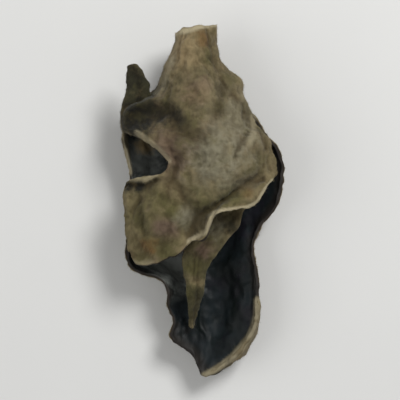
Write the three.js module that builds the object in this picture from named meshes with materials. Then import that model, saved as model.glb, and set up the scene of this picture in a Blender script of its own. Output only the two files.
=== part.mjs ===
// A dried wood ear, as picked: one thin, leathery fruiting body that has folded over on itself
// like a squashed purse, felted outside and smooth inside. It lies on its back wall.
// +X is to the right, +Y points to the end that was cut from the wood, and +Z is up.
// Lengths are in millimetres. The origin is on the surface it lies on, under the middle of its box.

import * as THREE from "three";
import { ImprovedNoise } from "three/addons/math/ImprovedNoise.js";
import { mergeVertices } from "three/addons/utils/BufferGeometryUtils.js";

// Wall thickness: at the cut, over most of the body, and at the thin free margin. The wall thins
// down over these distances from the middle of the cut, and over a band along the margin.
const CUT_WALL = 1.5;
const BODY_WALL = 0.95;
const MARGIN_WALL = 0.6;
const CUT_REACH = [4, 12];
const MARGIN_BAND = 3.0;

// How often the directions in which the wall's thickness lies are evened out
const NORMAL_PASSES = 5;

// The cut end: its middle, half its width and half its depth, and how far the knife went askew
const CUT_CENTRE = [-0.7, 28.3, 8.6];
const CUT_HALF_WIDTH = 3.7;
const CUT_HALF_DEPTH = 2.3;
const CUT_SLOPE = 0.16;

// The skin is a grid: columns go round a wall from its left edge to its right edge, and rows go
// down from the cut. The first rows of the two walls are joined at both folds, and the first few
// of them are solid flesh.
const COLUMNS = 26;
const FOLD_ROWS = 14;
const FRONT_ROWS = 34;
const BACK_ROWS = 46;
const SOLID_ROWS = 3;

// How fast the pull of the cut's outline fades down a wall, and that of the bottom edge up it
const CUT_FADE = 4;
const BOTTOM_FADE = 2.5;

// Where the two walls meet, from the cut down to where they part
const LEFT_FOLD = [
  [-4.4, 27.7, 8.6],
  [-4.9, 24.2, 8.2],
  [-5.9, 21.4, 7.8],
  [-7.0, 18.9, 7.4],
  [-8.6, 17.0, 7.0],
  [-11.2, 16.0, 6.8],
  [-12.9, 14.2, 6.6],
  [-12.7, 11.6, 6.6],
];
const RIGHT_FOLD = [
  [3.0, 28.9, 8.6],
  [3.1, 24.9, 8.0],
  [4.7, 21.7, 7.6],
  [6.7, 19.8, 7.2],
  [7.3, 17.2, 7.0],
  [8.2, 14.6, 7.0],
];

// Free margins of the front wall. The left one runs into a notch and out again.
const FRONT_LEFT = [
  [-12.7, 11.6, 6.6],
  [-9.6, 10.4, 9.0],
  [-7.3, 8.8, 10.6],
  [-5.6, 6.8, 11.6],
  [-5.4, 5.3, 11.8],
  [-7.4, 4.2, 11.2],
  [-10.2, 3.6, 9.8],
  [-12.6, 2.2, 8.6],
  [-13.4, -0.8, 8.0],
  [-13.3, -4.7, 7.8],
  [-12.7, -8.2, 8.0],
];
const FRONT_BOTTOM = [
  [-12.7, -8.2, 8.0],
  [-11.4, -10.1, 8.3],
  [-9.0, -10.8, 8.8],
  [-6.8, -10.0, 9.5],
  [-4.8, -9.2, 10.2],
  [-3.1, -9.0, 10.9],
  [-2.3, -7.7, 11.5],
  [-1.6, -6.4, 12.0],
  [0.0, -6.1, 12.5],
  [1.3, -5.2, 12.9],
  [1.9, -3.3, 13.2],
  [2.8, -2.0, 13.3],
  [4.9, -1.6, 13.2],
  [7.3, -1.5, 12.8],
  [9.0, -0.8, 12.2],
];
const FRONT_RIGHT = [
  [8.2, 14.6, 7.0],
  [9.1, 13.0, 7.8],
  [10.1, 11.2, 8.6],
  [11.9, 9.2, 9.2],
  [13.1, 6.7, 9.8],
  [13.3, 4.6, 10.4],
  [11.7, 2.9, 11.4],
  [10.2, 1.2, 12.0],
  [9.0, -0.8, 12.2],
];

// Free margins of the back wall
const BACK_LEFT = [
  [-12.7, 11.6, 6.6],
  [-12.3, 9.6, 6.8],
  [-11.8, 7.4, 6.5],
  [-11.5, 4.6, 6.0],
  [-12.0, 1.0, 5.4],
  [-12.6, -3.2, 5.0],
  [-12.9, -7.4, 4.9],
  [-12.1, -10.8, 5.2],
  [-9.8, -12.2, 5.8],
  [-7.2, -12.9, 6.2],
  [-6.2, -15.2, 6.2],
  [-5.5, -17.8, 5.6],
  [-4.7, -19.6, 5.2],
  [-5.4, -21.4, 5.0],
  [-4.6, -23.4, 4.6],
];
const BACK_BOTTOM = [
  [-4.6, -23.4, 4.6],
  [-3.1, -24.4, 4.4],
  [-1.6, -25.6, 4.4],
  [-0.8, -27.6, 4.4],
  [0.4, -28.9, 4.6],
  [2.4, -28.3, 5.0],
  [4.9, -26.2, 5.6],
];
const BACK_RIGHT = [
  [8.2, 14.6, 7.0],
  [9.9, 12.0, 6.2],
  [11.9, 9.4, 5.6],
  [13.5, 6.4, 5.2],
  [13.8, 3.2, 5.0],
  [13.0, 0.2, 5.0],
  [11.2, -2.7, 5.0],
  [9.4, -5.4, 5.0],
  [8.9, -8.6, 5.2],
  [9.5, -12.0, 5.6],
  [9.7, -15.4, 6.0],
  [9.3, -18.8, 6.4],
  [8.0, -22.4, 6.4],
  [4.9, -26.2, 5.6],
];

// How far each wall arches from the chord between its edges: [share of the way down, height]. The
// arch leaves the edges less steeply within these rows below the folds' end.
const FRONT_ARCH = [
  [0, CUT_HALF_DEPTH],
  [0.1, 3.6],
  [0.25, 5.8],
  [0.42, 7.2],
  [0.52, 5.6],
  [0.62, 3.8],
  [0.8, 4.0],
  [1, 0.8],
];
const BACK_ARCH = [
  [0, CUT_HALF_DEPTH],
  [0.1, 4.0],
  [0.22, 6.4],
  [0.35, 6.6],
  [0.5, 5.4],
  [0.7, 5.6],
  [0.88, 5.2],
  [1, 0.6],
];
const SOFTEN_ROWS = [FOLD_ROWS - 2, FOLD_ROWS + 8];
const SOFTEN_POWER = 0.8;

// Swellings and hollows: middle, half-widths along and across, turn in degrees, height. Those of the
// front wall fade out this close to the folds.
const FOLD_HELD = 2.5;
const FRONT_SWELLINGS = [
  { at: [2.2, 16.6], reach: [9.0, 3.0], turn: -67, height: 1.4 },
  { at: [-10.0, 13.8], reach: [6.0, 2.6], turn: -6, height: -2.6 },
  { at: [-4.0, 8.2], reach: [3.4, 3.0], turn: 0, height: 0.8 },
  { at: [-8.8, -3.8], reach: [4.2, 4.2], turn: 0, height: 1.8 },
  { at: [-1.6, -2.0], reach: [4.2, 1.3], turn: -80, height: -1.0 },
  { at: [4.8, 4.4], reach: [3.6, 2.4], turn: 25, height: 0.9 },
];
const BACK_SWELLINGS = [
  { at: [-6.0, 2.0], reach: [11.0, 1.8], turn: 74, height: 1.4 },
  { at: [7.0, -2.0], reach: [9.0, 1.6], turn: -78, height: 1.1 },
  { at: [1.0, 14.0], reach: [7.0, 1.4], turn: 80, height: 0.9 },
  { at: [-1.5, -14.0], reach: [7.0, 1.5], turn: 70, height: 1.0 },
  { at: [5.0, -18.0], reach: [5.0, 2.0], turn: -70, height: -0.8 },
];

// Narrow creases: the line they follow, depth and half-width
const FRONT_CREASES = [
  { line: [[9.8, 3.9], [5.5, 1.0], [2.7, -0.7], [-0.2, -3.9], [-1.8, -6.0]], depth: 1.2, halfWidth: 1.0 },
  { line: [[-13.4, 2.1], [-8.8, 2.3]], depth: 1.0, halfWidth: 0.8 },
  { line: [[7.8, 13.6], [8.2, 12.1], [7.6, 10.9], [6.4, 8.8]], depth: 0.7, halfWidth: 0.8 },
  { line: [[-5.6, 19.0], [-3.6, 13.0], [-5.0, 10.6]], depth: 0.5, halfWidth: 1.2 },
  { line: [[-4.0, 8.8], [-4.3, 5.6], [-3.6, 2.4]], depth: 0.4, halfWidth: 0.7 },
];

// Free margins: how far the front one is turned up, and how far the back one bulges before it
// curls over, at the left, at the upper right and at the lower right. The bulge points away from
// the heart line, and grows between these two heights and these two widths.
const MARGIN_LIFT = 0.9;
const MARGIN_LIFT_REACH = 1.4;
const LEFT_BULGE = 0.7;
const UPPER_BULGE = 0.9;
const LOWER_BULGE = 2.4;
const BULGE_PLACE = 1.1;
const BULGE_REACH = 1.0;
const HEART = { x: 1.5, top: 12, bottom: -18 };
const LOWER_BAND = [-19, -12];
const RIGHT_BAND = [3.5, 6.5];

// Crumpling: the size of the crumples, how far they move the flesh up and sideways, and the
// ripples that spread from a point behind the cut. It grows between these distances from the cut.
const CRUMPLE_SIZE = 7.0;
const CRUMPLE_SHIFT = 0.8;
const CRUMPLE_SIDEWAYS = 0.48;
const FINE_CRUMPLE_SIZE = 3.4;
const FINE_CRUMPLE_SHIFT = 0.3;
const RIPPLE_START = [-0.7, 32.3];
const RIPPLE_TURNS = 7.0;
const RIPPLE_LENGTH = 30;
const RIPPLE_DEPTH = 12;
const RIPPLE_SHIFT = 0.45;
const CRUMPLE_FROM = [5, 22];

// The back wall is pressed flat against the surface this far above its lowest crumples
const REST_FLAT = 0.7;

// Flaps: how fast the shape of the slot that a flap grows from fades along it, and the share of its
// thickness that it has lost at its tip
const SLOT_FADE = 3;
const FLAP_TAPER = 0.35;

// The tongue: a flap that grows from the inside of the front wall and hangs out under the lip. It
// dips by the drop just outside its slot.
const TONGUE_ROW = 30;
const TONGUE_COLUMNS = [13, 22];
const TONGUE_LENGTH_ROWS = 15;
const TONGUE_WALL = 0.75;
const TONGUE_CROWN = 0.9;
const TONGUE_DROP = 2.0;
const TONGUE_LEFT = [
  [-1.9, -5.2, 9.6],
  [-2.6, -8.6, 9.2],
  [-3.0, -12.2, 8.6],
  [-2.8, -15.4, 7.6],
  [-2.4, -18.6, 6.4],
  [-2.2, -21.2, 5.4],
];
const TONGUE_RIGHT = [
  [7.6, -1.2, 9.6],
  [6.7, -3.8, 9.6],
  [4.4, -7.0, 9.2],
  [1.6, -11.2, 8.4],
  [0.3, -14.6, 7.6],
  [-0.3, -18.0, 6.4],
  [-0.7, -21.0, 5.4],
];

// The shoulder: a small ear-like lobe that stands up beside the neck, out of the left fold
const SHOULDER_ROWS = [8, 12];
const SHOULDER_LENGTH_ROWS = 8;
const SHOULDER_WALL = 0.9;
const SHOULDER_CROWN = 0.5;
const SHOULDER_RIGHT = [
  [-8.8, 18.6, 7.8],
  [-9.0, 20.6, 8.4],
  [-9.9, 22.3, 8.6],
];
const SHOULDER_LEFT = [
  [-12.7, 17.0, 7.8],
  [-12.5, 19.6, 8.4],
  [-11.6, 21.9, 8.6],
];

const FLESH_COLOUR = 0x75684d;

const noise = new ImprovedNoise();
const smooth = THREE.MathUtils.smoothstep;

function curveThrough(points) {
  const vectors = points.map((p) => (p.isVector3 ? p : new THREE.Vector3(...p)));
  return new THREE.CatmullRomCurve3(vectors, false, "centripetal");
}

// A value read from a short list of [place, value] stops, eased between them
function profile(stops, place) {
  const next = Math.max(1, stops.findIndex(([at]) => at >= place));
  const [a, low] = stops[next - 1];
  const [b, high] = stops[next];
  return low + (high - low) * smooth(place, a, b);
}

function bell(distance, reach) {
  return Math.exp(-((distance / reach) ** 2));
}

// The height that the swellings and hollows add at a place
function swelling(list, { x, y }) {
  let sum = 0;
  for (const { at, reach, turn, height } of list) {
    const place = new THREE.Vector2(x, y);
    place.rotateAround(new THREE.Vector2(...at), -THREE.MathUtils.degToRad(turn));
    sum += height * bell(place.x - at[0], reach[0]) * bell(place.y - at[1], reach[1]);
  }
  return sum;
}

// Distance in plan from a place to a line of points
function distanceToLine(line, { x, y }) {
  const place = new THREE.Vector3(x, y, 0);
  const nearest = new THREE.Vector3();
  let best = Infinity;
  for (let i = 1; i < line.length; i++) {
    const [a, b] = [line[i - 1], line[i]].map(([px, py]) => new THREE.Vector3(px, py, 0));
    new THREE.Line3(a, b).closestPointToPoint(place, true, nearest);
    best = Math.min(best, nearest.distanceTo(place));
  }
  return best;
}

// Half of the cut's outline, from its left end to its right end
function cutEdge(u) {
  const across = -Math.cos(Math.PI * u);
  return new THREE.Vector3(
    CUT_CENTRE[0] + CUT_HALF_WIDTH * across,
    CUT_CENTRE[1] + CUT_HALF_WIDTH * CUT_SLOPE * across,
    CUT_CENTRE[2],
  );
}

// Points down one edge of a wall: along the fold, then along the free margin
function edgePoints(fold, margin, rows) {
  const foldCurve = curveThrough(fold);
  const marginCurve = curveThrough(margin);
  return Array.from({ length: rows + 1 }, (_, row) =>
    row <= FOLD_ROWS
      ? foldCurve.getPointAt(row / FOLD_ROWS)
      : marginCurve.getPointAt((row - FOLD_ROWS) / (rows - FOLD_ROWS)),
  );
}

// One wall's outer skin as rows of points, filled in between its four edges and then arched. side is
// 1 for the front wall and -1 for the back wall.
function wallSkin({ left, right, bottom, rows, side, arch }) {
  const leftEdge = edgePoints(LEFT_FOLD, left, rows);
  const rightEdge = edgePoints(RIGHT_FOLD, right, rows);
  const bottomEdge = curveThrough(bottom);
  const grid = [];
  for (let row = 0; row <= rows; row++) {
    const down = row / rows;
    const sharpness = 1 + SOFTEN_POWER * smooth(row, ...SOFTEN_ROWS);
    const line = [];
    for (let column = 0; column <= COLUMNS; column++) {
      const u = column / COLUMNS;
      const share = (1 - Math.cos(Math.PI * u)) / 2;
      const chord = (at) => leftEdge[at].clone().lerp(rightEdge[at], share);
      const point = chord(row);
      point.addScaledVector(cutEdge(u).sub(chord(0)), (1 - down) ** CUT_FADE);
      point.addScaledVector(bottomEdge.getPointAt(share).sub(chord(rows)), down ** BOTTOM_FADE);
      point.z += side * profile(arch, down) * Math.sin(Math.PI * u) ** sharpness;
      line.push(point);
    }
    grid.push(line);
  }
  return grid;
}

// The free margin of a wall, as a line in plan
function freeMargin(grid) {
  const free = grid.slice(FOLD_ROWS);
  const bottom = free.at(-1).slice(1, -1);
  const line = [...free.map((row) => row[0]), ...bottom, ...free.map((row) => row[COLUMNS]).reverse()];
  return line.map(({ x, y }) => [x, y]);
}

// Swellings, creases and the turned-up margin of the front wall
function shapeFront(grid) {
  const margin = freeMargin(grid);
  for (const point of grid.slice(1).flat()) {
    const toFold = Math.min(distanceToLine(LEFT_FOLD, point), distanceToLine(RIGHT_FOLD, point));
    let rise = swelling(FRONT_SWELLINGS, point) * smooth(toFold, 0, FOLD_HELD);
    for (const { line, depth, halfWidth } of FRONT_CREASES) {
      rise -= depth * bell(distanceToLine(line, point), halfWidth);
    }
    point.z += rise + MARGIN_LIFT * bell(distanceToLine(margin, point), MARGIN_LIFT_REACH);
  }
}

// Swellings of the back wall, and the bulge outside its margin, which then curls inwards
function shapeBack(grid) {
  const margin = freeMargin(grid);
  for (const point of grid.slice(FOLD_ROWS + 1).flat()) {
    const heartY = THREE.MathUtils.clamp(point.y, HEART.bottom, HEART.top);
    const outward = point.clone().sub(new THREE.Vector3(HEART.x, heartY, point.z)).normalize();
    const lower = 1 - smooth(point.y, ...LOWER_BAND);
    const right = UPPER_BULGE + (LOWER_BULGE - UPPER_BULGE) * lower;
    const bulge = LEFT_BULGE + (right - LEFT_BULGE) * smooth(point.x, ...RIGHT_BAND);
    point.addScaledVector(outward, bulge * bell(distanceToLine(margin, point) - BULGE_PLACE, BULGE_REACH));
  }
  for (const point of grid.slice(1).flat()) point.z += swelling(BACK_SWELLINGS, point);
}

// Moves a point as the drying did: broad and fine crumples, and ripples that spread from the cut
function crumple(point) {
  const { x, y, z } = point;
  const fromCut = Math.hypot(x - CUT_CENTRE[0], y - CUT_CENTRE[1]);
  const grown = smooth(fromCut, ...CRUMPLE_FROM);
  const [across, along, up] = [x, y, z].map((value) => value / CRUMPLE_SIZE);
  const broad = (shift) => noise.noise(across + shift, along - shift, up + 3 * shift);
  const fine = noise.noise(x / FINE_CRUMPLE_SIZE, y / FINE_CRUMPLE_SIZE, z / FINE_CRUMPLE_SIZE);
  const angle = Math.atan2(x - RIPPLE_START[0], RIPPLE_START[1] - y);
  const ripple = noise.noise(angle * RIPPLE_TURNS, fromCut / RIPPLE_LENGTH, z / RIPPLE_DEPTH);
  point.x += CRUMPLE_SIDEWAYS * grown * broad(11.3);
  point.y += CRUMPLE_SIDEWAYS * grown * broad(27.9);
  point.z += grown * (CRUMPLE_SHIFT * broad(0.7) + FINE_CRUMPLE_SHIFT * fine + RIPPLE_SHIFT * ripple);
}

// Every square of the two walls, with its corners in order round its outer face
function skinSquares(front, back) {
  const squares = [];
  for (const [wall, grid] of [["front", front], ["back", back]]) {
    for (let row = 1; row < grid.length; row++) {
      for (let column = 1; column <= COLUMNS; column++) {
        const corners = [
          grid[row - 1][column - 1],
          grid[row][column - 1],
          grid[row][column],
          grid[row - 1][column],
        ];
        if (wall === "back") corners.reverse();
        squares.push({ wall, row, column, corners });
      }
    }
  }
  return squares;
}

// Outward normal at every point of a skin, evened out over the points of the squares round it
function skinNormals(squares) {
  const points = squares.flatMap(({ corners }) => corners);
  let normals = new Map(points.map((point) => [point, new THREE.Vector3()]));
  for (const { corners } of squares) {
    const [a, b, c, d] = corners;
    const face = c.clone().sub(a).cross(d.clone().sub(b));
    for (const corner of corners) normals.get(corner).add(face);
  }
  normals.forEach((normal) => normal.normalize());
  for (let pass = 0; pass < NORMAL_PASSES; pass++) {
    const evened = new Map([...normals.keys()].map((point) => [point, new THREE.Vector3()]));
    for (const { corners } of squares) {
      const sum = new THREE.Vector3();
      for (const corner of corners) sum.add(normals.get(corner));
      for (const corner of corners) evened.get(corner).add(sum);
    }
    evened.forEach((normal) => normal.normalize());
    normals = evened;
  }
  return normals;
}

// Edges that only one square uses, as [from, to] in that square's direction
function freeEdges(squares) {
  const followers = new Map();
  for (const { corners } of squares) {
    corners.forEach((from, i) => {
      if (!followers.has(from)) followers.set(from, new Set());
      followers.get(from).add(corners[(i + 1) % 4]);
    });
  }
  const free = [];
  for (const [from, tos] of followers) {
    for (const to of tos) if (!followers.get(to)?.has(from)) free.push([from, to]);
  }
  return free;
}

// The inner skin's point under every point of the outer skin
function innerSkin(squares, marginPoints) {
  const root = new THREE.Vector3(...CUT_CENTRE);
  const inner = new Map();
  for (const [point, normal] of skinNormals(squares)) {
    const toMargin = Math.min(...marginPoints.map((other) => other.distanceTo(point)));
    const body = BODY_WALL + (CUT_WALL - BODY_WALL) * (1 - smooth(point.distanceTo(root), ...CUT_REACH));
    const wall = MARGIN_WALL + (body - MARGIN_WALL) * smooth(toMargin, 0, MARGIN_BAND);
    inner.set(point, point.clone().addScaledVector(normal, -wall));
  }
  return inner;
}

// Triangles that close a ring of edges to its middle
function closeRing(ring) {
  const middle = new THREE.Vector3();
  ring.forEach(([from]) => middle.addScaledVector(from, 1 / ring.length));
  return ring.map(([from, to]) => [to, from, middle]);
}

// A flap that grows out of a slot in a skin. over and under are the slot's two long sides, edges are
// the lines that the flap's sides follow from the slot's first and last points, and the over side
// faces up. drop is how far the flap dips just outside the slot.
function flap({ over, under, edges, rows, wall, crown, drop }) {
  const last = over.length - 1;
  const middle = [over.map((point, k) => point.clone().lerp(under[k], 0.5))];
  const sides = [[middle[0][0], ...edges[0]], [middle[0][last], ...edges[1]]].map(curveThrough);
  for (let row = 1; row <= rows; row++) {
    const [a, b] = sides.map((side) => side.getPointAt(row / rows));
    const line = over.map((_, k) => a.clone().lerp(b, k / last));
    line.forEach((point, k) => {
      const rootShare = (1 - row / rows) ** SLOT_FADE;
      const flat = middle[0][0].clone().lerp(middle[0][last], k / last);
      point.addScaledVector(middle[0][k].clone().sub(flat), rootShare);
      point.z += crown * Math.sin((Math.PI * k) / last) * (1 - rootShare) - drop * rootShare;
    });
    middle.push(line);
  }
  middle.slice(1).flat().forEach(crumple);
  const top = [over];
  const base = [under];
  for (let row = 1; row <= rows; row++) {
    const ahead = middle[Math.min(row + 1, rows)];
    const thickness = wall * (1 - FLAP_TAPER * (row / rows));
    const lift = (k) => {
      const along = ahead[k].clone().sub(middle[row - 1][k]);
      const across = middle[row][Math.min(k + 1, last)].clone().sub(middle[row][Math.max(k - 1, 0)]);
      return along.cross(across).normalize().multiplyScalar(thickness / 2);
    };
    top.push(middle[row].map((point, k) => point.clone().add(lift(k))));
    base.push(middle[row].map((point, k) => point.clone().sub(lift(k))));
  }
  const faces = [];
  for (let row = 1; row <= rows; row++) {
    for (let k = 1; k <= last; k++) {
      faces.push([top[row - 1][k - 1], top[row][k - 1], top[row][k], top[row - 1][k]]);
      faces.push([base[row - 1][k], base[row][k], base[row][k - 1], base[row - 1][k - 1]]);
    }
    faces.push([top[row][0], top[row - 1][0], base[row - 1][0], base[row][0]]);
    faces.push([top[row - 1][last], top[row][last], base[row][last], base[row - 1][last]]);
  }
  const [topEnd, baseEnd] = [top[rows], base[rows]];
  for (let k = 1; k <= last; k++) faces.push([topEnd[k], topEnd[k - 1], baseEnd[k - 1], baseEnd[k]]);
  return faces;
}

// The outer skins of the front and the back wall, joined along both folds, crumpled, and pressed
// flat where the body rests
function outerSkins() {
  const frontEdges = { left: FRONT_LEFT, right: FRONT_RIGHT, bottom: FRONT_BOTTOM };
  const backEdges = { left: BACK_LEFT, right: BACK_RIGHT, bottom: BACK_BOTTOM };
  const front = wallSkin({ ...frontEdges, rows: FRONT_ROWS, side: 1, arch: FRONT_ARCH });
  const back = wallSkin({ ...backEdges, rows: BACK_ROWS, side: -1, arch: BACK_ARCH });
  shapeFront(front);
  shapeBack(back);
  for (let row = 0; row <= FOLD_ROWS; row++) {
    back[row][0] = front[row][0];
    back[row][COLUMNS] = front[row][COLUMNS];
  }
  const points = new Set([...front, ...back].flat());
  points.forEach(crumple);
  const lowest = Math.min(...[...points].map(({ z }) => z));
  for (const point of points) point.z = Math.max(point.z, lowest + REST_FLAT);
  return [front, back];
}

// The whole body's faces
function bodyFaces() {
  const [front, back] = outerSkins();
  const squares = skinSquares(front, back);
  const within = (ring) => ([from, to]) => ring.has(from) && ring.has(to);
  const cut = new Set([...front[0], ...back[0]]);
  const solidEnd = new Set([...front[SOLID_ROWS], ...back[SOLID_ROWS]]);
  const margin = freeEdges(squares).filter((edge) => !within(cut)(edge));
  const inner = innerSkin(squares, margin.map(([from]) => from));
  const innerOf = (points) => points.map((point) => inner.get(point));

  const [firstColumn, lastColumn] = TONGUE_COLUMNS;
  const underTongue = ({ wall, row, column }) =>
    wall === "front" && row === TONGUE_ROW && column > firstColumn && column <= lastColumn;
  const [firstRow, lastRow] = SHOULDER_ROWS;
  const underShoulder = ({ wall, row, column }) =>
    wall === "front" && column === 1 && row > firstRow && row <= lastRow;
  const hollow = squares.filter(({ row }) => row > SOLID_ROWS);
  const hollowEnd = freeEdges(hollow).filter(within(solidEnd));

  const tongueSlot = (row) => innerOf(front[row].slice(firstColumn, lastColumn + 1));
  const tongue = flap({
    over: tongueSlot(TONGUE_ROW),
    under: tongueSlot(TONGUE_ROW - 1),
    edges: [TONGUE_LEFT, TONGUE_RIGHT],
    rows: TONGUE_LENGTH_ROWS,
    wall: TONGUE_WALL,
    crown: TONGUE_CROWN,
    drop: TONGUE_DROP,
  });
  const shoulderSlot = (column) => front.slice(firstRow, lastRow + 1).map((row) => row[column]);
  const shoulder = flap({
    over: shoulderSlot(1),
    under: shoulderSlot(0),
    edges: [SHOULDER_RIGHT, SHOULDER_LEFT],
    rows: SHOULDER_LENGTH_ROWS,
    wall: SHOULDER_WALL,
    crown: SHOULDER_CROWN,
    drop: 0,
  });
  return [
    ...squares.filter((square) => !underShoulder(square)).map(({ corners }) => corners),
    ...hollow.filter((square) => !underTongue(square)).map(({ corners }) => innerOf(corners).reverse()),
    ...margin.map(([from, to]) => [to, from, inner.get(from), inner.get(to)]),
    ...closeRing(freeEdges(squares).filter(within(cut))),
    ...closeRing(hollowEnd.map(([from, to]) => [inner.get(to), inner.get(from)])),
    ...tongue,
    ...shoulder,
  ];
}

// One mesh geometry from faces with three or four corners, with the box's base middle at the origin
function geometryFrom(faces) {
  const positions = [];
  for (const face of faces) {
    for (let i = 2; i < face.length; i++) {
      for (const { x, y, z } of [face[0], face[i - 1], face[i]]) positions.push(x, y, z);
    }
  }
  const loose = new THREE.BufferGeometry();
  loose.setAttribute("position", new THREE.Float32BufferAttribute(positions, 3));
  const geometry = mergeVertices(loose, 1e-4);
  geometry.computeBoundingBox();
  const { min, max } = geometry.boundingBox;
  geometry.translate(-(min.x + max.x) / 2, -(min.y + max.y) / 2, -min.z);
  geometry.computeVertexNormals();
  return geometry;
}

const flesh = new THREE.MeshStandardMaterial({ name: "dried_flesh", color: FLESH_COLOUR, roughness: 0.9 });
const ear = new THREE.Mesh(geometryFrom(bodyFaces()), flesh);
ear.name = "wood_ear";

const part = new THREE.Group();
part.add(ear);
export default part;
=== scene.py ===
"""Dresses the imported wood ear: its thin crumpled flesh, felted outside and smooth inside, with a
short pile of hairs on the felt, lying on a pale floor in soft light."""

import math

import bmesh
import bpy
import numpy as np
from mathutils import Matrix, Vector, kdtree, noise
from mathutils.bvhtree import BVHTree


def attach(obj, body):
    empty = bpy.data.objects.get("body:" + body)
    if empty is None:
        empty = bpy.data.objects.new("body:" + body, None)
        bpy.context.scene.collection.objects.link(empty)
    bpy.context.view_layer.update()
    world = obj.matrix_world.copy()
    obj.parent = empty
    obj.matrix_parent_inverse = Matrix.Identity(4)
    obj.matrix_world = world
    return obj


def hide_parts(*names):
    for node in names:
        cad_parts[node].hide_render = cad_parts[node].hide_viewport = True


bl_info = {
    "name": "Dried Wood Ear",
    "version": (1, 0, 0),
    "blender": (4, 5, 0),
    "location": "View3D > Sidebar > Wood Ear",
    "description": "Makes a dried wood ear mushroom around its packed solid",
    "category": "Object",
}

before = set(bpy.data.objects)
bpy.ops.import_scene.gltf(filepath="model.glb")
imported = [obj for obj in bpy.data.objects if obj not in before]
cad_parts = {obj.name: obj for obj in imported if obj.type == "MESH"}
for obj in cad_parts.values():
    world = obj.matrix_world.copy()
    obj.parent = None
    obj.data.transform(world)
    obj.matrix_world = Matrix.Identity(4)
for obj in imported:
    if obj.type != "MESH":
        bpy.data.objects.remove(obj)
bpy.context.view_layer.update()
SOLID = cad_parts["wood_ear"]
MM = 0.001

# A pixel of the photograph in millimetres, and the pixel at the middle of the part
PIXEL = 0.41
MIDDLE_PIXEL = (238.5, 282.5)

# Where the flesh was cut from the wood, how deep its end is and how straight that faces along Y, and
# how sharp its ring stays when the mesh is smoothed
CUT_CENTRE = Vector((-0.7, 28.3, 8.6)) * MM
CUT_DEPTH = 1.0 * MM
CUT_FACING = 0.7
CUT_SHARPNESS = 0.9

# Growth lines spread from a point this far behind the cut, which is this wide from its middle to a
# side, in millimetres
SPREAD_START = 6.0
CUT_HALF_WIDTH = 3.7

# Ribs along the growth lines, wide and narrow: their height beside the rib height of the settings,
# and their sizes across, along and up in millimetres
RIBS = ((0.9, (3.4, 15.0, 12.0)), (0.35, (1.1, 6.0, 5.0)))

# Places straight above the smooth dish and above the tongue, to start their surfaces from
DISH_PLACE = Vector((4.0, -14.0, 40.0)) * MM
TONGUE_PLACE = Vector((-1.2, -14.0, 40.0)) * MM

# The tongue narrows to its tip between two places along Y, in millimetres, round one along X. It lies
# within a reach of that line and above a height. The tip keeps a share of the width, and the
# narrowing grows by a power.
TIP_NARROWS = (-14.0, -21.5)
TIP_MIDDLE = -1.9
TIP_REACH = 1.9
TIP_BOTTOM = 5.6
TIP_WIDTH = 0.3
TIP_CURVE = 1.5

# Finishes, in the order of the flesh's material slots
FELT, MARGIN, INSIDE, CUT = range(4)

# Vertices nearer than this, in metres, are one. Triangles are joined in pairs up to the first two
# angles, between their faces and along their sides, and edges up to the last one are shaded smooth.
MERGE_WITHIN = 1e-6
FLAT_PAIR = math.radians(50)
SQUARE_PAIR = math.radians(60)
SMOOTH_EDGE = math.radians(45)

# The smooth side follows the felted side's folds where the flesh is thinner than this, in millimetres
FOLLOWS_WITHIN = 3.0

# How many times the moves of a fold, and the places that small and broad crests stand out from, are
# evened out over their neighbours
FOLD_PASSES = 2
FINE_PASSES = 2
BROAD_PASSES = 40

# How soon a surface that turns up counts as level, and how square a fold's and the curled rim's
# section is
LEVEL_SHARE = 2.5
FOLD_SECTION = 1.6
CURL_SECTION = 3

# A crest this many times as high as is usual counts nearly in full
CREST_RANGE = 1.5

# Heights in millimetres of the sheets that the folds and pale lines are drawn on: the whole ear, its
# upper wall, its lip, which hangs over the tongue, what lies below the lip, and the dish
ANYWHERE = (0.0, 20.0)
UPPER_WALL = (6.8, 20.0)
LIP = (11.6, 20.0)
BELOW_LIP = (0.0, 11.6)
DISH = (0.0, 7.6)

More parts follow.
